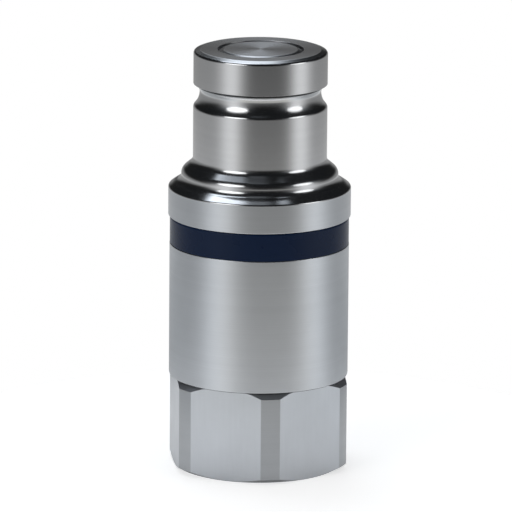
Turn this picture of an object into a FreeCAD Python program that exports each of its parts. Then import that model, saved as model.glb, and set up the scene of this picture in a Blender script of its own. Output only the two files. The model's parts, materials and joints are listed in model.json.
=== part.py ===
import FreeCAD, Part
import math
import os

# Flat-face hydraulic quick coupling nipple, the male half of a coupling.
# Millimetres. +Z runs along the axis from the port to the nose, and the origin is
# the centre of the port face, on which the nipple stands.

# Lengths of the outside, stacked from the port face upwards
HEX_LENGTH = 20.9
BARREL_LENGTH = 30.25
RING_GROOVE_WIDTH = 6.3
COLLAR_LENGTH = 6.55
SHOULDER_EDGE_HEIGHT = 1.0
SHOULDER_HEIGHT = 1.6
STEP_LENGTH = 2.15
FLARE_HEIGHT = 2.1
SHAFT_LENGTH = 12.5
LOCK_FLANK_HEIGHT = 1.87
LAND_LENGTH = 7.7

# Radial sizes of the outside; the collar lies just inside the corners of the hexagon
NOSE_RADIUS = 15.0
LOCK_DEPTH = 1.42
LOCK_SWEEP_RADIUS = 4.4
LOCK_SWEEP_STEPS = 3
LOCK_FLANK_STEPS = 3
NOSE_BEVEL_WIDTH = 1.5
NOSE_BEVEL_HEIGHT = 0.5
FLARE_WIDTH = 2.6
SHOULDER_EDGE_WIDTH = 1.26
COLLAR_INSET = 0.34
COLLAR_LIP = 0.32
RING_GROOVE_DEPTH = 1.6

# Hexagon, with corners turned off round, chamfered where the barrel meets it and at the port face
HEX_ACROSS_FLATS = 38.0
HEX_CORNER_HEIGHT = 1.8
HEX_CHAMFER = 1.2
HEX_FOOT_INSET = 0.3
HEX_FOOT_ANGLE = 30.0

# Bores of the body
NOSE_WALL = 3.2
STOP_WIDTH = 2.2
BARREL_WALL = 4.05

# Screwed joint between the body and the hexagon adapter, with its static seal
JOINT_THREAD_LENGTH = 14.2
JOINT_THREAD_STEP = 1.4
JOINT_THREAD_RUNOUT = 0.6
SPIGOT_LENGTH = 24.2
SEAL_LAND = 2.2
O_RING_WIDTH = 3.2
O_RING_DEPTH = 2.1

# Port, tapped G 3/4 and drawn at the thread's minor diameter
PORT_RADIUS = 12.06
PORT_DEPTH = 17.0
PORT_CHAMFER = 1.5
FLOW_RADIUS = 11.4

# Valve: a screwed poppet with its seal, a spring and a guide with flow windows
HEAD_THICKNESS = 5.0
HEAD_CHAMFER = 0.45
POPPET_SEAL_WIDTH = 2.8
POPPET_SEAL_DEPTH = 2.3
RETAINER_LENGTH = 1.4
RETAINER_INSET = 0.2
STOP_OVERLAP = 0.7
FLANGE_THICKNESS = 2.1
STEM_RADIUS = 4.5
STEM_END_HEIGHT = 6.0
POPPET_SCREW_RADIUS = 3.0
POPPET_SCREW_LENGTH = 9.0
VALVE_TRAVEL = 10.0
GUIDE_PLATE_THICKNESS = 4.0
GUIDE_HUB_WALL = 1.35
GUIDE_WINDOW_COUNT = 3
GUIDE_WINDOW_ANGLE = 84.0
SPRING_WIRE = 1.8
SPRING_TURNS = 5.4
SPRING_FLAT_TURNS = 0.7
SPRING_RAMP_TURNS = 0.25
SPRING_STEPS_PER_TURN = 16
SPRING_WIRE_SIDES = 6

# Clearances between pieces that fit together
THREAD_CLEARANCE = 0.05
PILOT_CLEARANCE = 0.05
POPPET_CLEARANCE = 0.1
SEAL_CLEARANCE = 0.05
STEM_CLEARANCE = 0.05
STOP_CLEARANCE = 0.17
TRAVEL_CLEARANCE = 0.4
SPRING_CLEARANCE = 0.3
SPRING_END_CLEARANCE = 0.1
SCREW_END_CLEARANCE = 0.5
RING_CLEARANCE = 0.05
RING_GAP = 0.12
WINDOW_MARGIN = 0.5

# Radii that follow from the driving sizes
hex_corner_radius = HEX_ACROSS_FLATS / 2 + HEX_CORNER_HEIGHT
hex_foot_radius = HEX_ACROSS_FLATS / 2 - HEX_FOOT_INSET
collar_radius = hex_corner_radius - COLLAR_INSET
barrel_radius = collar_radius - COLLAR_LIP
step_radius = NOSE_RADIUS + FLARE_WIDTH
shoulder_radius = collar_radius - SHOULDER_EDGE_WIDTH
lock_radius = NOSE_RADIUS - LOCK_DEPTH
ring_groove_radius = barrel_radius - RING_GROOVE_DEPTH
chamber_radius = NOSE_RADIUS - NOSE_WALL
bore_radius = chamber_radius - STOP_WIDTH
pilot_bore_radius = barrel_radius - BARREL_WALL
thread_bore_radius = pilot_bore_radius + JOINT_THREAD_STEP
pilot_radius = pilot_bore_radius - PILOT_CLEARANCE
seal_groove_radius = pilot_radius - O_RING_DEPTH
head_radius = bore_radius - POPPET_CLEARANCE
flange_radius = bore_radius + STOP_OVERLAP
retainer_radius = bore_radius - RETAINER_INSET
poppet_hub_radius = head_radius - POPPET_SEAL_DEPTH
hub_bore_radius = STEM_RADIUS + STEM_CLEARANCE
hub_radius = hub_bore_radius + GUIDE_HUB_WALL
spring_radius = hub_radius + SPRING_CLEARANCE + SPRING_WIRE / 2
window_radius = spring_radius + SPRING_WIRE / 2 + WINDOW_MARGIN

# Concave sweep that leads the locking balls into their groove, and the shorter flank that stops them
lock_sweep_angle = math.acos(1 - LOCK_DEPTH / LOCK_SWEEP_RADIUS)
lock_sweep_height = LOCK_SWEEP_RADIUS * math.sin(lock_sweep_angle)
lock_flank_radius = (LOCK_FLANK_HEIGHT**2 + LOCK_DEPTH**2) / (2 * LOCK_DEPTH)
lock_flank_angle = math.acos(1 - LOCK_DEPTH / lock_flank_radius)

# Heights of the outside
z_hex_foot = (hex_corner_radius - hex_foot_radius) * math.tan(math.radians(HEX_FOOT_ANGLE))
z_hex_top = HEX_LENGTH
z_groove_low = z_hex_top + BARREL_LENGTH
z_groove_high = z_groove_low + RING_GROOVE_WIDTH
z_collar_top = z_groove_high + COLLAR_LENGTH
z_shoulder = z_collar_top + SHOULDER_EDGE_HEIGHT
z_step_root = z_collar_top + SHOULDER_HEIGHT
z_step_rim = z_step_root + STEP_LENGTH
z_shaft_root = z_step_rim + FLARE_HEIGHT
z_sweep_low = z_shaft_root + SHAFT_LENGTH
z_lock = z_sweep_low + lock_sweep_height
z_land_low = z_lock + LOCK_FLANK_HEIGHT
z_face = z_land_low + LAND_LENGTH

# Heights of the screwed joint, measured up from the hexagon
z_thread_top = z_hex_top + JOINT_THREAD_LENGTH
z_guide_low = z_hex_top + SPIGOT_LENGTH
z_guide_top = z_guide_low + GUIDE_PLATE_THICKNESS
z_o_ring_high = z_guide_low - SEAL_LAND
z_o_ring_low = z_o_ring_high - O_RING_WIDTH

# Heights of the valve, measured down from the face; its stop is a cone at 45 degrees
z_seal_high = z_face - HEAD_THICKNESS
z_seal_low = z_seal_high - POPPET_SEAL_WIDTH
z_screw_end = z_seal_low - POPPET_SCREW_LENGTH
z_stop_high = z_seal_low - RETAINER_LENGTH
z_stop_low = z_stop_high - STOP_WIDTH
z_cone_high = z_stop_high + RETAINER_INSET - STOP_CLEARANCE
z_cone_low = z_stop_high - STOP_OVERLAP - STOP_CLEARANCE
z_flange_rear = z_cone_low - FLANGE_THICKNESS
z_hub_top = z_flange_rear - VALVE_TRAVEL - TRAVEL_CLEARANCE
z_stem_end = z_guide_low + STEM_END_HEIGHT

FULL_TURN = 360.0
AXIS_POINT = FreeCAD.Vector(0, 0, 0)
AXIS = FreeCAD.Vector(0, 0, 1)


def turned(section, angle=FULL_TURN):
    """Solid turned about the axis from the (radius, height) corners of its half section."""
    points = [FreeCAD.Vector(radius, 0, height) for radius, height in section]
    outline = Part.makePolygon(points + points[:1])
    return Part.Face(outline).revolve(AXIS_POINT, AXIS, angle)


def lock_sweep():
    """Corners of the concave sweep, from the shaft up to the bottom of the locking groove."""
    corners = []
    for step in range(LOCK_SWEEP_STEPS + 1):
        angle = lock_sweep_angle * (1 - step / LOCK_SWEEP_STEPS)
        radius = lock_radius + LOCK_SWEEP_RADIUS * (1 - math.cos(angle))
        corners.append((radius, z_lock - LOCK_SWEEP_RADIUS * math.sin(angle)))
    return corners


def lock_flank():
    """Corners of the concave flank, from the bottom of the locking groove up to the land."""
    corners = []
    for step in range(1, LOCK_FLANK_STEPS + 1):
        angle = lock_flank_angle * step / LOCK_FLANK_STEPS
        radius = lock_radius + lock_flank_radius * (1 - math.cos(angle))
        corners.append((radius, z_lock + lock_flank_radius * math.sin(angle)))
    return corners


def nose_body():
    """Nose with the locking groove, stepped shoulder, collar and barrel, bored for the valve."""
    barrel = [
        (barrel_radius, z_hex_top),
        (barrel_radius, z_groove_low),
        (ring_groove_radius, z_groove_low),
        (ring_groove_radius, z_groove_high),
        (collar_radius, z_groove_high),
        (collar_radius, z_collar_top),
        (shoulder_radius, z_shoulder),
        (step_radius, z_step_root),
        (step_radius, z_step_rim),
        (NOSE_RADIUS, z_shaft_root),
    ]
    nose = lock_sweep() + lock_flank() + [
        (NOSE_RADIUS, z_face - NOSE_BEVEL_HEIGHT),
        (NOSE_RADIUS - NOSE_BEVEL_WIDTH, z_face),
    ]
    bores = [
        (bore_radius, z_face),
        (bore_radius, z_stop_high),
        (chamber_radius, z_stop_low),
        (chamber_radius, z_guide_top),
        (pilot_bore_radius, z_guide_top),
        (pilot_bore_radius, z_thread_top + JOINT_THREAD_RUNOUT),
        (thread_bore_radius, z_thread_top + JOINT_THREAD_RUNOUT),
        (thread_bore_radius, z_hex_top),
    ]
    return turned(barrel + nose + bores)


def hexagon(across_flats, height):
    """Hexagonal prism that stands on the port face, with two corners on the Y axis."""
    reach = across_flats / math.sqrt(3)
    corner = FreeCAD.Vector(0, reach, 0)
    turns = [FreeCAD.Rotation(AXIS, FULL_TURN * k / 6) for k in range(7)]
    outline = Part.makePolygon([turn.multVec(corner) for turn in turns])
    return Part.Face(outline).extrude(AXIS * height)


def hex_adapter():
    """Hexagon with the tapped port, and the threaded spigot that screws into the barrel."""
    blank = turned([
        (0, 0),
        (hex_foot_radius, 0),
        (hex_corner_radius, z_hex_foot),
        (hex_corner_radius, z_hex_top - HEX_CHAMFER),
        (hex_corner_radius - HEX_CHAMFER, z_hex_top),
        (0, z_hex_top),
    ])
    thread_radius = thread_bore_radius - THREAD_CLEARANCE
    spigot = turned([
        (0, z_hex_top - HEX_CHAMFER),
        (thread_radius, z_hex_top - HEX_CHAMFER),
        (thread_radius, z_thread_top),
        (pilot_radius, z_thread_top),
        (pilot_radius, z_o_ring_low),
        (seal_groove_radius, z_o_ring_low),
        (seal_groove_radius, z_o_ring_high),
        (pilot_radius, z_o_ring_high),
        (pilot_radius, z_guide_low),
        (0, z_guide_low),
    ])
    flow_path = turned([
        (0, 0),
        (PORT_RADIUS + PORT_CHAMFER, 0),
        (PORT_RADIUS, PORT_CHAMFER),
        (PORT_RADIUS, PORT_DEPTH),
        (FLOW_RADIUS, PORT_DEPTH),
        (FLOW_RADIUS, z_guide_low),
        (0, z_guide_low),
    ])
    wrench_part = blank.common(hexagon(HEX_ACROSS_FLATS, HEX_LENGTH))
    return wrench_part.fuse(spigot).cut(flow_path).removeSplitter()


def body_o_ring():
    """Static seal of the screwed joint, squeezed to fill its groove."""
    inner = seal_groove_radius + SEAL_CLEARANCE
    outer = pilot_bore_radius - SEAL_CLEARANCE
    return turned([
        (inner, z_o_ring_low),
        (outer, z_o_ring_low),
        (outer, z_o_ring_high),
        (inner, z_o_ring_high),
    ])


def colour_ring():
    """Coloured band that lies in the groove between the barrel and the collar."""
    inner = ring_groove_radius + RING_CLEARANCE
    outer = barrel_radius - RING_CLEARANCE
    return turned([
        (inner, z_groove_low),
        (outer, z_groove_low),
        (outer, z_groove_high - RING_GAP),
        (inner, z_groove_high - RING_GAP),
    ])


def poppet_head():
    """Flat front of the valve, flush with the nose, with the screw that holds it to the stem."""
    return turned([
        (0, z_face),
        (0, z_screw_end),
        (POPPET_SCREW_RADIUS, z_screw_end),
        (POPPET_SCREW_RADIUS, z_seal_low),
        (poppet_hub_radius, z_seal_low),
        (poppet_hub_radius, z_seal_high),
        (head_radius, z_seal_high),
        (head_radius, z_face - HEAD_CHAMFER),
        (head_radius - HEAD_CHAMFER, z_face),
    ])


def poppet_seal():
    """Moulded ring clamped between the head and the stem, which seals in the nose bore."""
    inner = poppet_hub_radius + SEAL_CLEARANCE
    outer = bore_radius - SEAL_CLEARANCE
    return turned([
        (inner, z_seal_low),
        (outer, z_seal_low),
        (outer, z_seal_high),
        (inner, z_seal_high),
    ])


def poppet_stem():
    """Stem that slides in the guide, with the flange that stops in the nose and takes the spring."""
    screw_bore_radius = POPPET_SCREW_RADIUS + THREAD_CLEARANCE
    z_screw_bore = z_screw_end - SCREW_END_CLEARANCE
    return turned([
        (screw_bore_radius, z_seal_low),
        (retainer_radius, z_seal_low),
        (retainer_radius, z_cone_high),
        (flange_radius, z_cone_low),
        (flange_radius, z_flange_rear),
        (STEM_RADIUS, z_flange_rear),
        (STEM_RADIUS, z_stem_end),
        (0, z_stem_end),
        (0, z_screw_bore),
        (screw_bore_radius, z_screw_bore),
    ])


def valve_guide():
    """Plate clamped between body and adapter, with flow windows and the hub that carries the stem."""
    guide = turned([
        (hub_bore_radius, z_guide_low),
        (pilot_radius, z_guide_low),
        (pilot_radius, z_guide_top),
        (hub_radius, z_guide_top),
        (hub_radius, z_hub_top),
        (hub_bore_radius, z_hub_top),
    ])
    window = turned([
        (window_radius, z_guide_low),
        (FLOW_RADIUS, z_guide_low),
        (FLOW_RADIUS, z_guide_top),
        (window_radius, z_guide_top),
    ], GUIDE_WINDOW_ANGLE)
    for k in range(GUIDE_WINDOW_COUNT):
        cutter = window.copy()
        cutter.rotate(AXIS_POINT, AXIS, FULL_TURN * k / GUIDE_WINDOW_COUNT)
        guide = guide.cut(cutter)
    return guide


def ramped_turns(turns):
    """Turns climbed where the pitch grows smoothly from nothing to full over one ramp."""
    share = turns / SPRING_RAMP_TURNS
    if share <= 0:
        return 0.0
    if share >= 1:
        return turns - SPRING_RAMP_TURNS / 2
    return SPRING_RAMP_TURNS * (share**3 - share**4 / 2)


def spring_section(turns):
    """Corners of the wire's section after a number of turns along the spring."""
    half_wire = SPRING_WIRE / 2
    z_low = z_guide_top + half_wire
    z_high = z_flange_rear - SPRING_END_CLEARANCE - half_wire
    upper_flat = SPRING_TURNS - SPRING_FLAT_TURNS - SPRING_RAMP_TURNS
    pitch = (z_high - z_low) / (upper_flat - SPRING_FLAT_TURNS)
    climbed = ramped_turns(turns - SPRING_FLAT_TURNS) - ramped_turns(turns - upper_flat)
    side_angle = 2 * math.pi / SPRING_WIRE_SIDES
    corner_reach = half_wire / math.cos(side_angle / 2)
    turn = FreeCAD.Rotation(AXIS, FULL_TURN * turns)
    corners = []
    for side in range(SPRING_WIRE_SIDES):
        angle = math.pi / 2 + side_angle * (side + 0.5)
        radius = spring_radius + corner_reach * math.cos(angle)
        height = z_low + pitch * climbed + corner_reach * math.sin(angle)
        corners.append(turn.multVec(FreeCAD.Vector(radius, 0, height)))
    return corners


def flat_face(*corners):
    """Flat face through its corners."""
    return Part.Face(Part.makePolygon(list(corners) + [corners[0]]))


def valve_spring():
    """Compression spring with a flat closed coil at each end, between the guide and the poppet."""
    steps = math.ceil(SPRING_TURNS * SPRING_STEPS_PER_TURN)
    sections = [spring_section(SPRING_TURNS * step / steps) for step in range(steps + 1)]
    faces = [flat_face(*sections[0]), flat_face(*sections[-1])]
    for near, far in zip(sections, sections[1:]):
        for side in range(SPRING_WIRE_SIDES):
            faces.append(flat_face(near[side - 1], near[side], far[side]))
            faces.append(flat_face(near[side - 1], far[side], far[side - 1]))
    return Part.Solid(Part.Shell(faces))


PIECES = {
    "nose_body": nose_body,
    "hex_adapter": hex_adapter,
    "body_o_ring": body_o_ring,
    "colour_ring": colour_ring,
    "valve_guide": valve_guide,
    "valve_spring": valve_spring,
    "poppet_head": poppet_head,
    "poppet_seal": poppet_seal,
    "poppet_stem": poppet_stem,
}

os.makedirs("parts", exist_ok=True)
for name, make in PIECES.items():
    shape = make()
    shape.exportStep(f"parts/{name}.step")
    print(f"{name}: {len(shape.Solids)} solid, valid {shape.isValid()}, {shape.Volume:.1f} mm3")
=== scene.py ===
import json
import math

import bmesh
import bpy
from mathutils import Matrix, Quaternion, Vector


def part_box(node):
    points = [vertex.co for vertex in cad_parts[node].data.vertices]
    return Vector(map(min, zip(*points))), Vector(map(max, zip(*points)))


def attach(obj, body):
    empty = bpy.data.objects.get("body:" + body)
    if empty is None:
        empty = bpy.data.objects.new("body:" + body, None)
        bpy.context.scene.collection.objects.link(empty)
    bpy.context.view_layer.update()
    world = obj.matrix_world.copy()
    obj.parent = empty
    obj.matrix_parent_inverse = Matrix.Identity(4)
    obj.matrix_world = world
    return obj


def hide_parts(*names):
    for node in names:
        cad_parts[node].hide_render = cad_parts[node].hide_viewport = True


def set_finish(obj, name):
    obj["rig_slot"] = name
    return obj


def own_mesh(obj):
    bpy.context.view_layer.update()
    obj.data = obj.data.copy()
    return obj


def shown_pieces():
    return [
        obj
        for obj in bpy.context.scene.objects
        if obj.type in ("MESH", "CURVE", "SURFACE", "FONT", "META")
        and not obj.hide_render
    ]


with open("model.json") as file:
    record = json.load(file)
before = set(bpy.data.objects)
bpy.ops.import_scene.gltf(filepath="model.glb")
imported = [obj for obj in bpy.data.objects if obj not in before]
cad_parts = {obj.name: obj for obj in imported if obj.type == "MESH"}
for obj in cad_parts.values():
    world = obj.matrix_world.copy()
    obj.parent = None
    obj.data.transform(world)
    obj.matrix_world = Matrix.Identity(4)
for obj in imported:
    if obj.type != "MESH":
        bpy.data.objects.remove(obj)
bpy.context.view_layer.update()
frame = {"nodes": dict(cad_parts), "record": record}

MM = 0.001
NODES = frame["nodes"]
MOUNTS = {mount["name"]: mount for mount in frame["record"]["mounts"]}

# Tolerances for what is read from the solids' meshes.
SEAM_SLACK = 1e-7       # a point this near the plane of the seam lies on it
SEAM_DIGITS = 6         # digits to which the points of a seam are rounded
LINE_SLACK = 2e-6       # a point this near the line between its neighbours is no corner
SAME = 1e-6             # two lengths that differ by less are the same
TINY = 1e-9             # less than any angle or length here
JOIN_REACH = 1e-7       # points nearer than this are joined

# Turned pieces.
SEGMENTS = 192          # steps around a turned piece
ARC_STEP = 9.0          # degrees of a rounded edge per step
FINE_EDGE = 0.1 * MM    # rounding of an edge that has no name below
EDGE_ROOM = 0.98        # share of a line that the roundings at its two ends may take up
FLAT_WEIGHT = 100       # how far large faces set the shading of the points they share

# Roundings of the nose body's edges in mm, in the order of its section from the foot of the barrel upwards.
NOSE_EDGES = {
    "barrel_low": 0.25,
    "barrel_high": 0.22,
    "groove_low": 0.1,
    "groove_high": 0.1,
    "collar_low": 0.22,
    "collar_high": 0.45,
    "shoulder_middle": 6.0,
    "step_root": 1.9,
    "step_rim": 1.9,
    "shaft_root": 1.9,
    "sweep_low": 0.9,
    "sweep_middle": 0.0,
    "sweep_high": 0.0,
    "groove_bottom": 0.0,
    "flank_low": 0.0,
    "flank_middle": 0.0,
    "land_low": 0.05,
    "bevel_low": 0.6,
    "bevel_high": 0.8,
    "bore_edge": 0.12,
}
GROOVE_STEPS = 12               # steps of each side of the locking groove
SHOULDER_EASE = 0.12 * MM       # how far the shoulder's middle edge is turned down
SWEEP_EDGE = 0.8 * MM           # length of the sweep that its rounded lower edge takes up

# Other turned pieces: the marking ring's roundings in mm are outside low and high, inside high and low.
RING_EDGES = (0.15, 0.45, 0.1, 0.1)
POPPET_BEVEL = 1.2 * MM         # width of the bevel round the poppet's disc
POPPET_RIM_EDGE = 0.2 * MM      # rounding below that bevel
POPPET_FACE_EDGE = 0.8 * MM     # rounding above it
STEM_EDGE = 0.2 * MM
SEAL_EDGE = 0.75 * MM

# Hexagon of the adapter.
HEX_SIDES = 6
HEX_SIDE = 2 * math.pi / HEX_SIDES      # angle that one side takes up
HEX_FLAT_STEPS = 22             # steps across a flat
HEX_CORNER_STEPS = 6            # steps across a turned corner
HEX_ARC_STEPS = 4               # steps of a rounded edge
HEX_EDGE_BLEND = 0.03 * MM      # softening between flat and corner
HEX_FOOT_EDGE = 0.15 * MM
HEX_TOP_EDGE = 0.15 * MM
HEX_LEAST_DROP = 0.02 * MM      # a chamfer lower than this counts as none
HEX_SHELF = 0.4 * MM            # width of the level edge on top where there is no chamfer

# Columns of points beside the edge between flat and corner, in degrees from it.
HEX_EDGE_COLUMNS = (0.15, 0.3, 0.55, 0.9, 1.5)

# G 3/4 thread of the port.
THREAD_PITCH = 1.814 * MM
THREAD_DEPTH = 1.162 * MM
THREAD_CREST = 0.32 * MM        # width of the ridge's crest
THREAD_FLANK = 27.5             # degrees from the radius
THREAD_STEPS = 72               # steps per turn
THREAD_SHORT = 1.5 * MM         # how far before the bore's end the full thread stops
THREAD_SUNK = 0.02 * MM         # how deep the ridge's feet lie in the wall
THREAD_ROOT = (0.93, 0.1 * MM)  # soft root: share of the half width, and height
THREAD_CREST_DROP = 0.08 * MM   # how far the crest falls off to its edges
THREAD_LOWEST = 0.05 * MM       # least height of the ridge's points over the port face
THREAD_APART = 0.01 * MM        # what keeps those points from falling together
CHAMFER_SUNK = 0.03 * MM        # how deep the ridge's feet lie in the chamfer of the mouth
CHAMFER_PROUD = 0.01 * MM       # how far the rest stands out of it

# Valve spring.
SPRING_TURNS = 5.4
SPRING_END_TURNS = 0.7          # flat turn at each end
SPRING_RAMP_TURNS = 0.25
SPRING_STEPS = 40               # steps per turn
SPRING_SIDES = 14
SPRING_GROUND = 0.5             # share of the wire's radius that is ground off at each end


def half_section(node):
    """Corners (radius, height) of a turned node's half section, in order, read along the seam of its mesh."""
    mesh = NODES[node].data
    links = {}
    for edge in mesh.edges:
        ends = [mesh.vertices[i].co for i in edge.vertices]
        if all(abs(p.y) < SEAM_SLACK and p.x > -SEAM_SLACK for p in ends):
            a, b = [(round(p.x, SEAM_DIGITS), round(p.z, SEAM_DIGITS)) for p in ends]
            if a != b:
                links.setdefault(a, set()).add(b)
                links.setdefault(b, set()).add(a)
    loose = [p for p in links if len(links[p]) == 1]
    section = [min(loose or links, key=lambda p: (p[1], -p[0]))]
    while True:
        following = sorted(p for p in links[section[-1]] if p not in section)
        if not following:
            break
        section.append(following[-1])
    if not loose and signed_area(section) < 0:
        section = section[:1] + section[:0:-1]
    return without_points_in_line(section, closed=not loose)


def signed_area(section):
    """Twice the area of a closed section, positive where it runs up its outer side."""
    pairs = zip(section, section[1:] + section[:1])
    return sum(a[0] * b[1] - b[0] * a[1] for a, b in pairs)


def without_points_in_line(section, closed):
    """The section without points that lie on the line between their neighbours."""
    kept = []
    for i, p in enumerate(section):
        a = Vector(section[i - 1])
        b = Vector(section[(i + 1) % len(section)])
        end = not closed and i in (0, len(section) - 1)
        line = (b - a).normalized()
        aside = (Vector(p) - a) - line * (Vector(p) - a).dot(line)
        if end or aside.length > LINE_SLACK:
            kept.append(p)
    return kept


def to_axis(section):
    """An open section closed by its two ends on the axis."""
    return [(0.0, section[0][1])] + section + [(0.0, section[-1][1])]


def corner_cuts(section, radii, closed):
    """How far each rounding reaches along the lines beside its corner, less where two of them would meet."""
    count = len(section)
    cuts = []
    for i in range(count):
        back = Vector(section[i - 1]) - Vector(section[i])
        on = Vector(section[(i + 1) % count]) - Vector(section[i])
        end = not closed and i in (0, count - 1)
        cuts.append(0.0 if end else radii[i] * math.tan((math.pi - back.angle(on)) / 2))
    shares = [1.0] * count
    for i in range(count):
        k = (i + 1) % count
        room = EDGE_ROOM * (Vector(section[k]) - Vector(section[i])).length
        if cuts[i] + cuts[k] > room:
            share = room / (cuts[i] + cuts[k])
            shares[i] = min(shares[i], share)
            shares[k] = min(shares[k], share)
    return [cut * share for cut, share in zip(cuts, shares)]


def rounded(section, radii, closed=True, steps=None):
    """The section with its corners rounded, as (radius, height, normal radius, normal height) points."""
    points = []
    cuts = corner_cuts(section, radii, closed)
    for i, corner in enumerate(section):
        p = Vector(corner)
        if not closed and i in (0, len(section) - 1):
            other = Vector(section[1] if i == 0 else section[-2])
            line = (other - p if i == 0 else p - other).normalized()
            points.append((p.x, p.y, line.y, -line.x))
            continue
        back = Vector(section[i - 1]) - p
        on = Vector(section[(i + 1) % len(section)]) - p
        back.normalize()
        on.normalize()
        start = math.atan2(back.x, -back.y)
        turn = math.atan2(back.y * on.x - back.x * on.y, -back.dot(on))
        half = math.tan(abs(turn) / 2)
        radius = cuts[i] / max(half, TINY)
        count = steps or max(2, math.ceil(abs(math.degrees(turn)) / ARC_STEP))
        side = 1 if turn > 0 else -1
        first = p + back * radius * half
        normal = Vector((math.cos(start), math.sin(start)))
        centre = first - normal * radius * side
        for k in range(count + 1):
            angle = start + turn * k / count
            normal = Vector((math.cos(angle), math.sin(angle)))
            point = centre + normal * radius * side
            points.append((point.x, point.y, normal.x, normal.y))
    return points


def new_mesh(name, verts, faces):
    """A mesh from its points and faces."""
    mesh = bpy.data.meshes.new(name)
    mesh.from_pydata(verts, [], faces)
    mesh.update()
    return mesh


def new_piece(name, mesh):
    """A shown object for a mesh."""
    piece = bpy.data.objects.new(name, mesh)
    bpy.context.scene.collection.objects.link(piece)
    return piece


def round_axis(radius, angle, height):
    """A point at a radius from the axis and an angle round it."""
    return (radius * math.cos(angle), radius * math.sin(angle), height)


def ring_mesh(name, angles, profiles, closed=True):
    """A mesh through one profile of (radius, height) points per angle, all with as many points."""
    count = len(profiles[0])
    verts = []
    for angle, profile in zip(angles, profiles):
        verts += [round_axis(radius, angle, height) for radius, height in profile]
    faces = []
    for j in range(len(profiles)):
        row = j * count
        beside = (j + 1) % len(profiles) * count
        for i in range(count if closed else count - 1):
            k = (i + 1) % count
            faces.append((row + i, beside + i, beside + k, row + k))
    return new_mesh(name, verts, faces)


def turned_piece(name, points, closed=True):
    """A piece turned from rounded section points, with the section's own normals."""
    angles = [2 * math.pi * j / SEGMENTS for j in range(SEGMENTS)]
    mesh = ring_mesh(name, angles, [[(p[0], p[1]) for p in points]] * SEGMENTS, closed)
    normals = [round_axis(p[2], angle, p[3]) for angle in angles for p in points]
    mesh.shade_smooth()
    mesh.normals_split_custom_set_from_vertices(normals)
    return new_piece(name, mesh)


def turned_solid(name, section, radii):
    """A piece turned from an open section with both ends on the axis."""
    return merged(turned_piece(name, rounded(section, radii, closed=False), closed=False))


def merged(piece):
    """Joins the points of a piece that lie on one another, such as those on its axis."""
    mesh = piece.data
    form = bmesh.new()
    form.from_mesh(mesh)
    bmesh.ops.remove_doubles(form, verts=form.verts, dist=JOIN_REACH)
    bmesh.ops.dissolve_degenerate(form, dist=JOIN_REACH, edges=form.edges)
    form.to_mesh(mesh)
    form.free()
    return piece


def weighted_normals(piece):
    """Flat faces keep flat shading, and the rounded edges between them turn."""
    piece.data.shade_smooth()
    modifier = piece.modifiers.new("normals", "WEIGHTED_NORMAL")
    modifier.mode = "FACE_AREA"
    modifier.weight = FLAT_WEIGHT
    return piece


# Nose body, with the locking groove's two sides as arcs.

def hollow(bottom, edge):
    """Points of an arc that leaves the groove's bottom upright and runs out to its edge, and its radius."""
    depth = edge[0] - bottom[0]
    height = edge[1] - bottom[1]
    radius = (height * height + depth * depth) / (2 * depth)
    end = math.acos(1 - depth / radius)
    side = 1 if height > 0 else -1
    arc = []
    for i in range(GROOVE_STEPS + 1):
        angle = end * i / GROOVE_STEPS
        arc.append((bottom[0] + radius * (1 - math.cos(angle)), bottom[1] + side * radius * math.sin(angle)))
    return arc, radius


nose_names = list(NOSE_EDGES)
nose_section = half_section("nose_body")
nose_radii = [radius * MM for radius in NOSE_EDGES.values()]
nose_radii += [FINE_EDGE] * (len(nose_section) - len(nose_radii))
NOSE = dict(zip(nose_names, nose_section))
shoulder_radius, shoulder_height = NOSE["shoulder_middle"]
nose_section[nose_names.index("shoulder_middle")] = (shoulder_radius, shoulder_height - SHOULDER_EASE)
sweep, sweep_radius = hollow(NOSE["groove_bottom"], NOSE["sweep_low"])
flank, flank_radius = hollow(NOSE["groove_bottom"], NOSE["land_low"])
sweep = [p for p in sweep[::-1] if math.dist(p, NOSE["sweep_low"]) > SWEEP_EDGE]
flank = flank[1:-1]
first = nose_names.index("sweep_low") + 1
last = nose_names.index("land_low")
nose_section[first:last] = sweep + flank
nose_radii[first:last] = [sweep_radius] * len(sweep) + [flank_radius] * len(flank)
nose_body = turned_piece("nose_body_turned", rounded(nose_section, nose_radii))
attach(nose_body, "housing")
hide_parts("nose_body")
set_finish(nose_body, "plated_steel")


# Marking ring.

ring_section = half_section("colour_ring")
colour_ring = turned_piece("colour_ring_moulded", rounded(ring_section, [edge * MM for edge in RING_EDGES]))
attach(colour_ring, "housing")
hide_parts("colour_ring")
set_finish(colour_ring, "blue_plastic")


# Poppet head, with the disc that shows in the nose.

head_section = to_axis(half_section("poppet_head"))
head_section[-2] = (head_section[-3][0] - POPPET_BEVEL, head_section[-2][1])
head_radii = [FINE_EDGE] * len(head_section)
head_radii[-3] = POPPET_RIM_EDGE
head_radii[-2] = POPPET_FACE_EDGE
poppet_head = turned_solid("poppet_head_turned", head_section, head_radii)
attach(poppet_head, "poppet")
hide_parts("poppet_head")
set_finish(poppet_head, "valve_steel")


# Poppet stem and the seals.

stem_section = to_axis(half_section("poppet_stem"))
poppet_stem = turned_solid("poppet_stem_turned", stem_section, [STEM_EDGE] * len(stem_section))
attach(poppet_stem, "poppet")
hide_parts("poppet_stem")
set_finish(poppet_stem, "valve_steel")

for node, body in (("body_o_ring", "housing"), ("poppet_seal", "poppet")):
    seal_section = half_section(node)
    seal = turned_piece(node + "_moulded", rounded(seal_section, [SEAL_EDGE] * len(seal_section)))
    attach(seal, body)
    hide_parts(node)
    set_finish(seal, "nitrile")


# Hexagon adapter, one profile per angle: hexagon outside, turned spigot and port inside.

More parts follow.
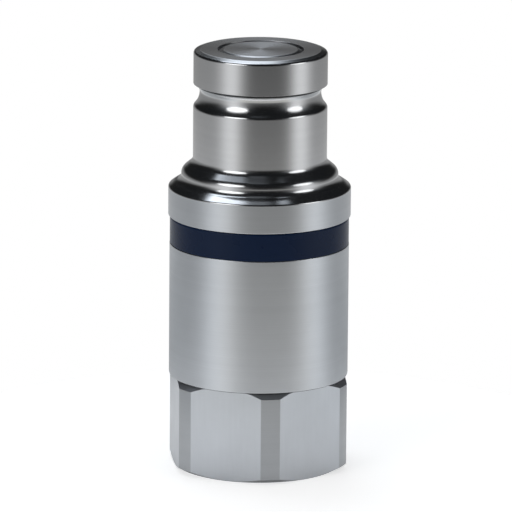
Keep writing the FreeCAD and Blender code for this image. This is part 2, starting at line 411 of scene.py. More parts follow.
spigot = half_section("hex_adapter")[::-1]      # from the hexagon's top over the spigot and down the port
adapter_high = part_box("hex_adapter")[1]
adapter_points = [v.co for v in NODES["hex_adapter"].data.vertices]
HEX_FLAT = adapter_high.x                       # half the width across flats
HEX_CORNER = adapter_high.y                     # radius of the turned corners
HEX_EDGE_ANGLE = math.acos(HEX_FLAT / HEX_CORNER)   # from the middle of a flat to its turned corner
HEX_TOP = spigot[0][1]
HEX_TOP_RADIUS = max(p.xy.length for p in adapter_points if abs(p.z - HEX_TOP) < SAME)
HEX_FOOT_RADIUS = max(p.xy.length for p in adapter_points if p.z < SAME)
HEX_FOOT_HEIGHT = min(p.z for p in adapter_points if p.xy.length > HEX_CORNER - SAME)
HEX_FOOT_SLOPE = HEX_FOOT_HEIGHT / (HEX_CORNER - HEX_FOOT_RADIUS)
port = MOUNTS["port_thread"]
PORT_MOUTH = min(radius for radius, height in spigot if height < SAME)
PORT_MINOR = port["dims"]["r_mm"] * MM
PORT_MAJOR = PORT_MINOR + THREAD_DEPTH
THREAD_END = port["pos_m"][2] + port["dims"]["length_mm"] * MM / 2 - THREAD_SHORT


def hex_angles():
    """Angles of the adapter's columns, close together where a flat meets a turned corner."""
    edge = HEX_EDGE_ANGLE
    near = [math.radians(degrees) for degrees in HEX_EDGE_COLUMNS]
    flat = edge - near[-1]
    corner = HEX_SIDE / 2 - edge - near[-1]
    half = [edge - d for d in near] + [edge] + [edge + d for d in near]
    half += [flat * i / HEX_FLAT_STEPS * 2 for i in range(HEX_FLAT_STEPS // 2)]
    half += [edge + near[-1] + corner * i / HEX_CORNER_STEPS * 2 for i in range(1, HEX_CORNER_STEPS // 2 + 1)]
    one = sorted(set(half) | {-a for a in half if a < HEX_SIDE / 2 - TINY})
    return [k * HEX_SIDE + a for k in range(HEX_SIDES) for a in one]


def from_flat(angle):
    """Angle from the middle of the nearest flat."""
    return (angle + HEX_SIDE / 2) % HEX_SIDE - HEX_SIDE / 2


def hex_radius(angle):
    """Radius of the hexagon's side at an angle, a flat or a turned corner."""
    flat = HEX_FLAT / math.cos(from_flat(angle))
    return (flat + HEX_CORNER - math.hypot(flat - HEX_CORNER, HEX_EDGE_BLEND)) / 2


def port_section():
    """The port's wall from the flow bore to its mouth, at the thread's outer radius where it is tapped."""
    flow_end = [p for p in spigot if p[1] < HEX_TOP and p[0] < PORT_MINOR - SAME][-1]
    return [
        flow_end,
        (PORT_MINOR, flow_end[1]),
        (PORT_MINOR, THREAD_END + THREAD_DEPTH),
        (PORT_MAJOR, THREAD_END),
        (PORT_MAJOR, PORT_MOUTH - PORT_MAJOR),
        (PORT_MOUTH, 0.0),
    ]


def hex_profile(angle, inner):
    """The adapter's whole section at one angle, rounded."""
    side = hex_radius(angle)
    foot = (side - HEX_FOOT_RADIUS) * HEX_FOOT_SLOPE
    drop = max(side - HEX_TOP_RADIUS, 0.0)
    shelf = min(side - HEX_SHELF, HEX_TOP_RADIUS) if drop < HEX_LEAST_DROP else HEX_TOP_RADIUS
    outer = [(HEX_FOOT_RADIUS, 0.0), (side, foot), (side, HEX_TOP - drop), (shelf, HEX_TOP)]
    radii = [HEX_FOOT_EDGE, HEX_FOOT_EDGE, HEX_TOP_EDGE, HEX_TOP_EDGE] + [FINE_EDGE] * len(inner)
    return [(p[0], p[1]) for p in rounded(outer + inner, radii, steps=HEX_ARC_STEPS)]


inner_section = [p for p in spigot if p[1] > HEX_TOP - SAME] + port_section()
column_angles = hex_angles()
columns = [hex_profile(angle, inner_section) for angle in column_angles]
hex_mesh = ring_mesh("hex_adapter_milled", column_angles, columns)
hex_adapter = weighted_normals(merged(new_piece("hex_adapter_milled", hex_mesh)))
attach(hex_adapter, "housing")
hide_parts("hex_adapter")
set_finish(hex_adapter, "plated_steel")


# Thread in the port.

def thread_ridge():
    """The port's thread as one ridge that winds up its wall, cut by the mouth's chamfer at its start."""
    crest = THREAD_CREST / 2
    foot = crest + THREAD_DEPTH * math.tan(math.radians(THREAD_FLANK))
    root_share, root_height = THREAD_ROOT
    half = [(foot, THREAD_SUNK), (foot * root_share, -root_height), (crest, THREAD_CREST_DROP - THREAD_DEPTH)]
    across = [(-shift, inward) for shift, inward in half] + [(0.0, -THREAD_DEPTH)] + half[::-1]
    wide = len(across)
    turns = (THREAD_END + THREAD_DEPTH + foot) / THREAD_PITCH
    count = int(turns * THREAD_STEPS)
    verts = []
    for j in range(count + 1):
        angle = 2 * math.pi * j / THREAD_STEPS
        middle = j * THREAD_PITCH / THREAD_STEPS
        for i, (shift, inward) in enumerate(across):
            height = max(middle + shift, THREAD_LOWEST + THREAD_APART * i)
            chamfer_radius = PORT_MOUTH - height + (CHAMFER_SUNK if inward > 0 else -CHAMFER_PROUD)
            verts.append(round_axis(max(PORT_MAJOR + inward, chamfer_radius), angle, height))
    faces = []
    for j in range(count):
        for i in range(wide):
            a = j * wide + i
            b = j * wide + (i + 1) % wide
            faces.append((a, b, b + wide, a + wide))
    faces.append(tuple(reversed(range(wide))))
    faces.append(tuple(count * wide + i for i in range(wide)))
    mesh = new_mesh("port_thread", verts, faces)
    mesh.shade_smooth()
    return mesh


port_thread = merged(new_piece("port_thread", thread_ridge()))
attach(port_thread, "housing")
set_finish(port_thread, "plated_steel")


# Valve spring, round wire with ground ends.

def spring_wire(low, high):
    """The wire along its helix between two heights, flat for the end turns and cut level at both ends."""
    reach = [v.co.xy.length for v in NODES["valve_spring"].data.vertices]
    wire = (max(reach) - min(reach)) / 2
    coil = (max(reach) + min(reach)) / 2
    ground = SPRING_GROUND * wire
    bottom = low + wire - ground
    climb = high - low - 2 * (wire - ground)
    count = int(SPRING_TURNS * SPRING_STEPS)
    span = SPRING_TURNS - 2 * SPRING_END_TURNS - SPRING_RAMP_TURNS
    verts = []
    for j in range(count + 1):
        turn = SPRING_TURNS * j / count
        run = min(turn, SPRING_TURNS - turn) - SPRING_END_TURNS
        ramp = max(0.0, min(run / SPRING_RAMP_TURNS, 1.0))
        rise = SPRING_RAMP_TURNS * ramp * ramp / 2 + max(0.0, run - SPRING_RAMP_TURNS)
        share = rise / span if turn < SPRING_TURNS / 2 else 1 - rise / span
        height = bottom + climb * share
        for k in range(SPRING_SIDES):
            lean = 2 * math.pi * k / SPRING_SIDES
            level = min(max(height + wire * math.sin(lean), low), high)
            verts.append(round_axis(coil + wire * math.cos(lean), 2 * math.pi * turn, level))
    faces = []
    for j in range(count):
        for k in range(SPRING_SIDES):
            a = j * SPRING_SIDES + k
            b = j * SPRING_SIDES + (k + 1) % SPRING_SIDES
            faces.append((a, a + SPRING_SIDES, b + SPRING_SIDES, b))
    faces.append(tuple(range(SPRING_SIDES)))
    faces.append(tuple(count * SPRING_SIDES + k for k in reversed(range(SPRING_SIDES))))
    mesh = new_mesh("valve_spring_wire", verts, faces)
    mesh.shade_smooth()
    return mesh


spring_low, spring_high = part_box("valve_spring")
valve_spring = new_piece("valve_spring_wire", spring_wire(spring_low.z, spring_high.z))
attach(valve_spring, "housing")
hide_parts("valve_spring")
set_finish(valve_spring, "spring_steel")
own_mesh(valve_spring)


# Nodes of the materials.

def new_material(name):
    """A material with its node tree and its shader."""
    material = bpy.data.materials.new(name)
    material.use_nodes = True
    tree = material.node_tree
    return material, tree, tree.nodes["Principled BSDF"]


def add(tree, kind, inputs=None, **settings):
    """A node with its settings, its inputs set to values or linked to sockets."""
    made = tree.nodes.new(kind)
    for key, value in settings.items():
        setattr(made, key, value)
    for key, value in (inputs or {}).items():
        if isinstance(value, bpy.types.NodeSocket):
            tree.links.new(value, made.inputs[key])
        else:
            made.inputs[key].default_value = value
    return made


def maths(tree, operation, *values):
    """The result of one sum."""
    return add(tree, "ShaderNodeMath", dict(enumerate(values)), operation=operation).outputs[0]


def product(tree, first, *others):
    """Several values multiplied."""
    for other in others:
        first = maths(tree, "MULTIPLY", first, other)
    return first


def eased(tree, value, low, high, at_low, at_high):
    """A value led softly from one level to another between two places."""
    inputs = {0: value, 1: low, 2: high, 3: at_low, 4: at_high}
    return add(tree, "ShaderNodeMapRange", inputs, interpolation_type="SMOOTHSTEP").outputs[0]


def blended(tree, share, first, second):
    """Two levels mixed by a share."""
    return add(tree, "ShaderNodeMix", {0: share, 2: first, 3: second}, data_type="FLOAT").outputs[0]


def tinted(tree, share, first, second):
    """Two colours mixed by a share."""
    return add(tree, "ShaderNodeMix", {0: share, 6: first, 7: second}, data_type="RGBA").outputs[2]


def own_place(tree):
    """The place on the object, in its own coordinates."""
    return add(tree, "ShaderNodeTexCoord").outputs["Object"]


def along(tree, place, direction):
    """How far a place lies along a direction."""
    dot = add(tree, "ShaderNodeVectorMath", {0: place, 1: direction}, operation="DOT_PRODUCT")
    return dot.outputs["Value"]


def distance(tree, place):
    """How far a place lies from the origin."""
    return add(tree, "ShaderNodeVectorMath", {0: place}, operation="LENGTH").outputs["Value"]


def seen_ray(tree):
    """1 for the rays that show the background: to the camera, in a gloss or through glass."""
    path = add(tree, "ShaderNodeLightPath").outputs
    shown = maths(tree, "MAXIMUM", path["Is Camera Ray"], path["Is Glossy Ray"])
    return maths(tree, "MAXIMUM", shown, path["Is Transmission Ray"])


# Materials. A tone from 0 to 1 varies their colour and roughness by these factors.

TONE_RANGE = (0.25, 0.75)       # part of a noise that is spread over the tone
TURNED_COLOURS = (0.93, 1.05)
TURNED_ROUGHNESS = (1.12, 0.9)
MILLED_COLOURS = (0.94, 1.04)
MILLED_ROUGHNESS = (1.15, 0.9)
MOULDED_ROUGHNESS = (0.9, 1.12)
BAND_WIDTH = 9.0                # marks of a turning tool to a band
BAND_SHARE = 0.35               # share of the bands in the marks
TURNED_CLOUDS = 0.4             # share of the clouds in the tone of turned metal
MILLED_CLOUDS = 0.65            # and of milled metal
MILLED_STRETCH = (1.0, 1.0, 0.06)
MILLED_DEPTH = 0.02 * MM
GRAIN_DEPTH = 0.03 * MM
QUARTER_TURN = 0.25             # from the tangent to the way in which the marks smear a reflection
PLAIN_GLOSS = 0.5


def noise(tree, place, scale, detail, roughness=0.5):
    """Noise in space."""
    inputs = {"Vector": place, "Scale": scale, "Detail": detail, "Roughness": roughness}
    return add(tree, "ShaderNodeTexNoise", inputs).outputs[0]


def noise_along(tree, length, scale, detail, roughness=0.5):
    """Noise along one length."""
    inputs = {"W": length, "Scale": scale, "Detail": detail, "Roughness": roughness}
    return add(tree, "ShaderNodeTexNoise", inputs, noise_dimensions="1D").outputs[0]


def spread(tree, tone, low, high):
    """A noise spread between two numbers."""
    start, end = TONE_RANGE
    return add(tree, "ShaderNodeMapRange", {0: tone, 1: start, 2: end, 3: low, 4: high}).outputs[0]


def times(colour, factor=1.0):
    """A colour times a factor, opaque."""
    return tuple(min(c * factor, 1.0) for c in colour) + (1.0,)


def vary(tree, shader, tone, colours, roughness):
    """Leads a tone to the shader's colour and roughness, each between two values."""
    shade = tinted(tree, spread(tree, tone, 0.0, 1.0), *colours)
    tree.links.new(shade, shader.inputs["Base Color"])
    tree.links.new(spread(tree, tone, *roughness), shader.inputs["Roughness"])


def emboss(tree, shader, height, strength, depth):
    """Leads a height to the shader's normal."""
    bump = add(tree, "ShaderNodeBump", {"Strength": strength, "Distance": depth, "Height": height})
    tree.links.new(bump.outputs[0], shader.inputs["Normal"])


def across_cut(tree, place):
    """The distance across the marks of a turning tool: height along a shaft, radius over a face."""
    apart = add(tree, "ShaderNodeSeparateXYZ", {0: place}).outputs
    flat = add(tree, "ShaderNodeCombineXYZ", {0: apart[0], 1: apart[1]}).outputs[0]
    return maths(tree, "ADD", distance(tree, flat), apart[2])


def turned_metal(name, colour, roughness, anisotropy, marks, depth):
    """Steel as a turning tool leaves it: fine marks round the axis, and faint clouds from handling."""
    material, tree, shader = new_material(name)
    place = own_place(tree)
    cut = across_cut(tree, place)
    fine = noise_along(tree, cut, scale=marks, detail=3.0, roughness=0.65)
    bands = noise_along(tree, cut, scale=marks / BAND_WIDTH, detail=2.0)
    clouds = noise(tree, place, scale=95.0, detail=4.0, roughness=0.6)
    marked = blended(tree, BAND_SHARE, fine, bands)
    tone = blended(tree, TURNED_CLOUDS, marked, clouds)
    colours = [times(colour, factor) for factor in TURNED_COLOURS]
    vary(tree, shader, tone, colours, [roughness * factor for factor in TURNED_ROUGHNESS])
    emboss(tree, shader, marked, strength=0.5, depth=depth)
    tangent = add(tree, "ShaderNodeTangent", direction_type="RADIAL", axis="Z")
    tree.links.new(tangent.outputs[0], shader.inputs["Tangent"])
    shader.inputs["Metallic"].default_value = 1.0
    shader.inputs["Anisotropic"].default_value = anisotropy
    shader.inputs["Anisotropic Rotation"].default_value = QUARTER_TURN
    return material


def milled_metal(name, colour, roughness):
    """Plated flats of drawn bar: smooth and cloudy, with faint marks along the bar."""
    material, tree, shader = new_material(name)
    place = own_place(tree)
    drawn = add(tree, "ShaderNodeMapping", {"Vector": place, "Scale": MILLED_STRETCH}).outputs[0]
    marks = noise(tree, drawn, scale=1600.0, detail=3.0, roughness=0.6)
    clouds = noise(tree, place, scale=110.0, detail=5.0, roughness=0.6)
    tone = blended(tree, MILLED_CLOUDS, marks, clouds)
    colours = [times(colour, factor) for factor in MILLED_COLOURS]
    vary(tree, shader, tone, colours, [roughness * factor for factor in MILLED_ROUGHNESS])
    emboss(tree, shader, tone, strength=0.4, depth=MILLED_DEPTH)
    shader.inputs["Metallic"].default_value = 1.0
    return material


def moulded(name, colour, pale, roughness, grain, gloss=PLAIN_GLOSS):
    """Moulded plastic or rubber, with a fine grain and slightly uneven colour and gloss."""
    material, tree, shader = new_material(name)
    place = own_place(tree)
    fine = noise(tree, place, scale=grain, detail=3.0, roughness=0.6)
    clouds = noise(tree, place, scale=140.0, detail=4.0)
    colours = [times(colour), times(pale)]
    vary(tree, shader, clouds, colours, [roughness * factor for factor in MOULDED_ROUGHNESS])
    emboss(tree, shader, fine, strength=0.35, depth=GRAIN_DEPTH)
    shader.inputs["Specular IOR Level"].default_value = gloss
    return material


polished = turned_metal("polished_steel", (0.57, 0.578, 0.588), roughness=0.17, anisotropy=0.75,
                        marks=7000.0, depth=0.004 * MM)
satin = turned_metal("satin_steel", (0.555, 0.577, 0.605), roughness=0.33, anisotropy=0.6,
                     marks=5000.0, depth=0.008 * MM)
bored = turned_metal("bored_steel", (0.45, 0.45, 0.46), roughness=0.35, anisotropy=0.5,
                     marks=4000.0, depth=0.01 * MM)
valve = turned_metal("valve_steel", (0.5, 0.505, 0.515), roughness=0.24, anisotropy=0.75,
                     marks=6000.0, depth=0.006 * MM)
wire_steel = turned_metal("spring_steel", (0.4, 0.4, 0.41), roughness=0.3, anisotropy=0.3,
                          marks=3000.0, depth=0.008 * MM)
milled = milled_metal("milled_steel", (0.484, 0.507, 0.537), roughness=0.3)
corners = turned_metal("corner_steel", (0.39, 0.405, 0.422), roughness=0.3, anisotropy=0.5,
                       marks=5000.0, depth=0.006 * MM)
chamfer = turned_metal("chamfer_steel", (0.5, 0.52, 0.56), roughness=0.48, anisotropy=0.2,
                       marks=4000.0, depth=0.01 * MM)
# Painted shade: a near-black steel that stands in for the shade under the land's overhang and in the joint at
# the barrel's foot.
painted_shade = turned_metal("painted_shade_steel", (0.035, 0.035, 0.037), roughness=0.4, anisotropy=0.4,
                    marks=5000.0, depth=0.006 * MM)
blue = moulded("blue_plastic", (0.0074, 0.0185, 0.0545), (0.0093, 0.0226, 0.064), roughness=0.28,
               grain=5200.0, gloss=0.11)
rubber = moulded("nitrile", (0.012, 0.012, 0.012), (0.02, 0.02, 0.02), roughness=0.6, grain=6500.0)


# Which finish each face has.

UNDER_LAND_SHADE = 0.6 * MM        # height of the painted shade line under the land's overhang
OVERHANG = -0.1             # a face whose normal points lower than this faces down
FOOT_JOINT_SHADE = 0.15 * MM      # height of the painted shade line in the joint at the foot of the barrel
BORE_RIM = 0.3 * MM         # how far the bored finish reaches out over the bore's edge
POLISH_OVERLAP = 0.4 * MM   # how far the polish reaches down over the collar's edge
UPRIGHT = 0.2               # a face whose normal rises less than this is upright
PORT_RIM = 0.1 * MM         # how far the bored finish reaches out over the port's wall
HEX_TOP_SLACK = 0.01 * MM   # how far above the hexagon the spigot's finish starts


def paint(piece, *materials):
    """The piece's materials, one per slot."""
    piece.data.materials.clear()
    for material in materials:
        piece.data.materials.append(material)


def paint_faces(piece, finishes, finish_of):
    """The piece's materials, one of them for each face."""
    paint(piece, *finishes)
    for face in piece.data.polygons:
        face.material_index = finishes.index(finish_of(face))


def nose_finish(face):
    """The nose body's finish: bored inside, painted shade in two dark lines, polished above the collar and
    satin below.
    """
    middle = face.center
    bore_radius, bore_top = NOSE["bore_edge"]
    faces_axis = middle.xy.dot(face.normal.xy) < 0
    if middle.xy.length < bore_radius + BORE_RIM or (faces_axis and middle.z < bore_top):
        return bored
    land_low = NOSE["land_low"][1]
    # Painted shade: a dark band under the land's overhang and another at the barrel's foot, where it meets
    # the hexagon.
    under_land = land_low - UNDER_LAND_SHADE < middle.z < land_low and face.normal.z < OVERHANG
    if under_land or middle.z < NOSE["barrel_low"][1] + FOOT_JOINT_SHADE:
        return painted_shade
    return polished if middle.z > NOSE["collar_high"][1] - POLISH_OVERLAP else satin


def adapter_finish(face):
    """The adapter's finish: bored inside and on the spigot, milled flats, and the rest turned."""
    middle = face.center
    if middle.z > HEX_TOP + HEX_TOP_SLACK or middle.xy.length < PORT_MAJOR + PORT_RIM:
        return bored
    if face.normal.z > UPRIGHT:
        return chamfer
    on_corner = abs(from_flat(math.atan2(middle.y, middle.x))) > HEX_EDGE_ANGLE
    return corners if on_corner or abs(face.normal.z) >= UPRIGHT else milled


paint_faces(nose_body, [polished, satin, bored, painted_shade], nose_finish)
paint_faces(hex_adapter, [milled, corners, bored, chamfer], adapter_finish)
paint(colour_ring, blue)
paint(poppet_head, valve)
paint(poppet_stem, valve)
paint(port_thread, bored)
paint(valve_spring, wire_steel)
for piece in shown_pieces():
    if piece.get("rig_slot") == "nitrile":
        paint(piece, rubber)
paint(NODES["valve_guide"], valve)


# Camera, at the photograph's angle.

CAMERA_AZIMUTH = -7.86      # degrees round the axis from the hexagon's corner
CAMERA_ELEVATION = 13.4
CAMERA_DISTANCE = 1.47
CAMERA_LENS = 460.3
CAMERA_SENSOR = 36.0
CAMERA_REACH = 20.0
CAMERA_ROLL = 0.46
AIM_HEIGHT = 47.6 * MM
AIM_LEFT = 0.7 * MM
AIM_UP = 0.1 * MM

azimuth = math.radians(CAMERA_AZIMUTH)
elevation = math.radians(CAMERA_ELEVATION)
TOWARDS = Vector((math.sin(azimuth), -math.cos(azimuth), 0.0))
RIGHT = Vector((math.cos(azimuth), math.sin(azimuth), 0.0))
UP = Vector((0.0, 0.0, 1.0))
back = TOWARDS * math.cos(elevation) + UP * math.sin(elevation)
lens_up = UP * math.cos(elevation) - TOWARDS * math.sin(elevation)
roll = Quaternion((0, 0, 1), math.radians(CAMERA_ROLL))
camera = bpy.data.objects.new("camera", bpy.data.cameras.new("camera"))
bpy.context.scene.collection.objects.link(camera)
camera.data.lens = CAMERA_LENS
camera.data.sensor_width = CAMERA_SENSOR
camera.data.clip_end = CAMERA_REACH
camera.rotation_mode = "QUATERNION"
camera.location = UP * AIM_HEIGHT - RIGHT * AIM_LEFT + lens_up * AIM_UP + back * CAMERA_DISTANCE
camera.rotation_quaternion = (-back).to_track_quat("-Z", "Y") @ roll
bpy.context.scene.camera = camera


# Soft boxes, left and right of the camera: degrees right of it and above the floor, width, height, radiance.

SOFT_BOXES = {
    "soft_box_left": (-46.0, 30.0, 0.56, 0.36, 2.2),
    "soft_box_right": (70.0, 26.0, 0.44, 0.32, 1.7),
}
SOFT_BOX_DISTANCE = 0.8


def way(right, above):
    """A direction from the object, in degrees right of the camera and above the floor."""
    turn = math.radians(right)
    rise = math.radians(above)
    return (TOWARDS * math.cos(turn) + RIGHT * math.sin(turn)) * math.cos(rise) + UP * math.sin(rise)


def soft_box(name, right, above, width, height, radiance):
    """A soft round lamp that faces the object."""
    data = bpy.data.lights.new(name, "AREA")
    data.shape = "ELLIPSE"
    data.size = width
    data.size_y = height
    data.energy = radiance * math.pi * (width * height * math.pi / 4)
    lamp = bpy.data.objects.new(name, data)
    bpy.context.scene.collection.objects.link(lamp)
    direction = way(right, above)
    lamp.location = UP * AIM_HEIGHT + direction * SOFT_BOX_DISTANCE
    lamp.rotation_mode = "QUATERNION"
    lamp.rotation_quaternion = (-direction).to_track_quat("-Z", "Y")
    lamp.visible_camera = False


for name, settings in SOFT_BOXES.items():
    soft_box(name, *settings)


# White floor.

WHITE = (1.0, 1.0, 1.0, 1.0)
FLOOR_COLOUR = (0.8, 0.8, 0.8, 1.0)
FLOOR_RADIUS = 0.085
FLOOR_DROP = 0.05 * MM      # how far it lies below the object
FLOOR_STEPS = 96
FLOOR_LIFT = 0.8            # what brings the lit floor up to white
# Painted light and shade: the floor that the gloss sees is painted brighter towards the front left and darker
# away from it, as the lamps' light would fall; the camera sees it plain white.
FLOOR_MIDDLE = 0.873        # share of that level at the object, as its gloss shows the floor
FLOOR_SLOPE = 2.8           # how fast the share grows towards the bright side, for each metre
FLOOR_BRIGHT = -18.5        # degrees right of the camera to that side
CONTACT_REACH = 0.08        # how far the shadow round the foot reaches
CONTACT_SEEN = 0.3          # how much of that shadow the pale floor shows directly
CONTACT_SAMPLES = 12


def circle(radius, height, steps):
    """Points of a level circle round the axis."""
    return [round_axis(radius, 2 * math.pi * i / steps, height) for i in range(steps)]


def floor_material():
    """White floor that keeps the object's shadow, and lets the camera look through from below."""
    material, tree, shader = new_material("floor_white")
    tree.nodes.remove(shader)
    camera_ray = add(tree, "ShaderNodeLightPath").outputs["Is Camera Ray"]
    place = own_place(tree)

    near = add(tree, "ShaderNodeAmbientOcclusion", {"Distance": CONTACT_REACH}, samples=CONTACT_SAMPLES)
    covered = maths(tree, "SUBTRACT", 1.0, near.outputs["AO"])
    outside = eased(tree, distance(tree, place), HEX_FOOT_RADIUS, HEX_FLAT, 0.0, 1.0)
    contact = product(tree, blended(tree, camera_ray, 1.0, CONTACT_SEEN), outside, covered)
    shade = maths(tree, "SUBTRACT", 1.0, contact)

    # painted light and shade on the floor, for the gloss only
    slope = product(tree, along(tree, place, way(FLOOR_BRIGHT, 0.0)), FLOOR_SLOPE)
    mirrored = maths(tree, "ADD", slope, FLOOR_MIDDLE)
    level = blended(tree, camera_ray, mirrored, 1.0)
    lift = product(tree, seen_ray(tree), shade, level, FLOOR_LIFT)

    matt = add(tree, "ShaderNodeBsdfDiffuse", {"Color": FLOOR_COLOUR})
    glow = add(tree, "ShaderNodeEmission", {"Color": WHITE, "Strength": lift})
    above = add(tree, "ShaderNodeAddShader", {0: matt.outputs[0], 1: glow.outputs[0]})
    below = add(tree, "ShaderNodeBsdfTransparent")
    under = add(tree, "ShaderNodeNewGeometry").outputs["Backfacing"]
    mixed = add(tree, "ShaderNodeMixShader", {0: under, 1: above.outputs[0], 2: below.outputs[0]})
    tree.links.new(mixed.outputs[0], tree.nodes["Material Output"].inputs["Surface"])
    return material


floor_mesh = new_mesh("floor", circle(FLOOR_RADIUS, -FLOOR_DROP, FLOOR_STEPS), [tuple(range(FLOOR_STEPS))])
floor = new_piece("floor", floor_mesh)
paint(floor, floor_material())


# Grey table and dark room, which only the object's gloss and the bounced light see.

ROOM_RADIUS = 2.4
ROOM_STEPS = 64
TABLE_RINGS = (FLOOR_RADIUS, 0.3, 0.8, ROOM_RADIUS)
TABLE_DROP = 0.4 * MM
DOME_LEVEL = 0.015
HORIZON = (-4.0, 14.0)          # rise in degrees over which the table gives way to the dome

# Levels of the table by the distance from the object, in front and at the sides.
TABLE_FRONT = ((0.085, 0.66), (0.15, 0.76), (0.255, 0.635), (0.319, 0.32), (0.38, 0.14), (0.45, 0.09))
TABLE_SIDE = ((0.09, 0.54), (0.15, 0.59), (0.21, 0.64), (0.255, 0.95), (0.3, 0.64), (0.45, 0.38))
TABLE_SCALE = 1.0
FRONT_MIDDLE = 9.0              # degrees right of the camera to the middle of the front
FRONT_EDGE = (38.0, 70.0)       # degrees from there over which the front gives way to the sides

# Light that the soft boxes lay on the table: middle and spread, in degrees right of the camera.
SHEENS = ((-51.0, 15.0), (72.5, 14.5))
SHEEN_LEVEL = 1.0
SHEEN_RISE = (8.0, 40.0)        # rise in degrees over which it fades

# Levels along an arch from the horizon behind the object, over its top, towards the camera, by degrees.
ARCH = (
    (0.0, 0.08), (14.0, 0.11), (25.0, 0.6), (38.0, 1.4), (56.0, 1.4), (66.0, 0.5), (76.0, 0.45),
    (84.0, 0.45), (89.0, 0.05), (94.0, 0.04), (98.0, 0.2), (102.0, 0.2), (107.0, 0.03), (112.0, 0.015),
)
ARCH_SCALE = 180.0
ARCH_LEFT = (-0.175, -0.155)    # soft edges of the arch, as shares of the way to its sides
ARCH_RIGHT = (0.02, 0.17)

# Panels overhead: which side, the soft edges nearest the middle, farthest out and in front, and the level.
PANELS = (
    (-1.0, (0.13, 0.27), (0.52, 0.6), (-0.12, -0.01), 2.3),
    (1.0, (0.2, 0.27), (0.3, 0.37), (-0.05, 0.01), 1.0),
)
PANEL_TURN = math.radians(35.8)
PANEL_BACK = (0.32, 0.38)       # their soft edge behind

# Tints of the table in front and at the sides, and of the light from overhead.
FRONT_TINT = (1.015, 1.0, 0.955, 1.0)
SIDE_TINT = (0.965, 1.0, 1.025, 1.0)
TINT_REACH = (0.22, 0.28)       # distance over which the table's tints fade to plain grey
COOL_LIGHT = (0.93, 1.0, 1.09, 1.0)
COOL_FROM = (12.0, 35.0)        # rise in degrees over which it sets in


def room_mesh():
    """A round table with a dome over it."""
    rings = [(radius, -TABLE_DROP) for radius in TABLE_RINGS]
    for j in range(1, ROOM_STEPS // 4):
        angle = math.pi / 2 * j / (ROOM_STEPS // 4)
        rings.append((ROOM_RADIUS * math.cos(angle), ROOM_RADIUS * math.sin(angle)))
    verts = []
    for radius, height in rings:
        verts += circle(radius, height, ROOM_STEPS)
    faces = []
    for j in range(len(rings) - 1):
        row = j * ROOM_STEPS
        above = row + ROOM_STEPS
        for i in range(ROOM_STEPS):
            k = (i + 1) % ROOM_STEPS
            faces.append((row + i, row + k, above + k, above + i))
    top = (len(rings) - 1) * ROOM_STEPS
    faces.append(tuple(range(top, top + ROOM_STEPS)))
    return new_mesh("room", verts, faces)


def in_degrees(tree, operation, *values):
    """An angle in degrees."""
    return maths(tree, "DEGREES", maths(tree, operation, *values))


def bell(tree, value, middle, width):
    """1 at the middle, falling off softly to both sides."""
    off = maths(tree, "DIVIDE", maths(tree, "ABSOLUTE", maths(tree, "SUBTRACT", value, middle)), width)
    return maths(tree, "EXPONENT", product(tree, maths(tree, "POWER", off, 2.0), -0.5))


def graded(tree, value, levels, end):
    """A level read from a row of places and levels, along a scale from 0 to its end."""
    ramp = add(tree, "ShaderNodeValToRGB", {0: maths(tree, "DIVIDE", value, end)})
    stops = ramp.color_ramp.elements
    while len(stops) < len(levels):
        stops.new(1.0)
    for stop, (place, level) in zip(stops, levels):
        stop.position = place / end
        stop.color = (level, level, level, 1.0)
    return ramp.outputs[0]


def between(tree, value, start, end):
    """1 between two soft edges, 0 outside them."""
    return product(tree, eased(tree, value, *start, 0.0, 1.0), eased(tree, value, *end, 1.0, 0.0))


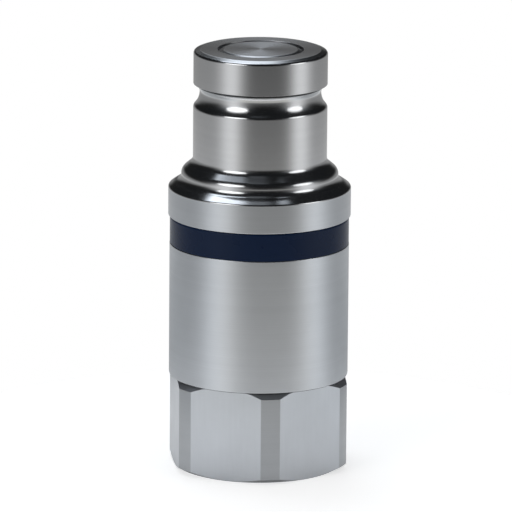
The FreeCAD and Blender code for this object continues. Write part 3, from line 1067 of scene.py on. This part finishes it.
def room_material():
    """Levels of the table and of the dome over it."""
    material, tree, shader = new_material("room_grey")
    tree.nodes.remove(shader)
    place = own_place(tree)
    height = along(tree, place, UP)
    front = along(tree, place, TOWARDS)
    aside = along(tree, place, RIGHT)
    rear = product(tree, front, -1.0)
    reach = distance(tree, place)
    angle = in_degrees(tree, "ARCTAN2", aside, front)
    rise = in_degrees(tree, "ARCSINE", maths(tree, "DIVIDE", height, reach))
    sideways = maths(tree, "DIVIDE", aside, reach)
    backwards = maths(tree, "DIVIDE", rear, reach)
    overhead = maths(tree, "GREATER_THAN", height, 0.0)

    off = maths(tree, "ABSOLUTE", maths(tree, "SUBTRACT", angle, FRONT_MIDDLE))
    side = eased(tree, off, *FRONT_EDGE, 0.0, 1.0)
    table_front = graded(tree, reach, TABLE_FRONT, TABLE_SCALE)
    table_side = graded(tree, reach, TABLE_SIDE, TABLE_SCALE)
    table = blended(tree, side, table_front, table_side)
    level = blended(tree, eased(tree, rise, *HORIZON, 0.0, 1.0), table, DOME_LEVEL)
    for middle, width in SHEENS:
        sheen = product(tree, bell(tree, angle, middle, width), eased(tree, rise, *SHEEN_RISE, 1.0, 0.0))
        level = blended(tree, sheen, level, SHEEN_LEVEL)

    arch = graded(tree, in_degrees(tree, "ARCTAN2", height, rear), ARCH, ARCH_SCALE)
    behind = maths(tree, "GREATER_THAN", maths(tree, "SUBTRACT", height, front), 0.0)
    window = between(tree, sideways, ARCH_LEFT, ARCH_RIGHT)
    level = blended(tree, product(tree, behind, overhead, window), level, arch)

    for hand, start, end, front_edge, strength in PANELS:
        outward = maths(tree, "ADD", product(tree, sideways, hand * math.cos(PANEL_TURN)),
                        product(tree, backwards, math.sin(PANEL_TURN)))
        depth = maths(tree, "SUBTRACT", product(tree, backwards, math.cos(PANEL_TURN)),
                      product(tree, sideways, hand * math.sin(PANEL_TURN)))
        across = between(tree, outward, start, end)
        deep = between(tree, depth, front_edge, PANEL_BACK)
        level = maths(tree, "ADD", level, product(tree, across, deep, overhead, strength))

    tint = tinted(tree, side, FRONT_TINT, SIDE_TINT)
    tint = tinted(tree, eased(tree, reach, *TINT_REACH, 0.0, 1.0), tint, WHITE)
    tint = tinted(tree, eased(tree, rise, *COOL_FROM, 0.0, 1.0), tint, COOL_LIGHT)
    shine = add(tree, "ShaderNodeEmission", {"Color": tint, "Strength": level})
    tree.links.new(shine.outputs[0], tree.nodes["Material Output"].inputs["Surface"])
    return material


room = new_piece("room", room_mesh())
paint(room, room_material())
room.visible_camera = False


# World: white where it is seen, and a low fill on everything else.

WORLD_SEEN = 1.0
WORLD_FILL = 0.3

world = bpy.data.worlds.new("studio")
bpy.context.scene.world = world
world.use_nodes = True
world_tree = world.node_tree
background = world_tree.nodes["Background"]
background.inputs["Color"].default_value = WHITE
world_level = blended(world_tree, seen_ray(world_tree), WORLD_FILL, WORLD_SEEN)
world_tree.links.new(world_level, background.inputs["Strength"])

bpy.context.scene.view_settings.view_transform = "Standard"

bpy.context.view_layer.update()
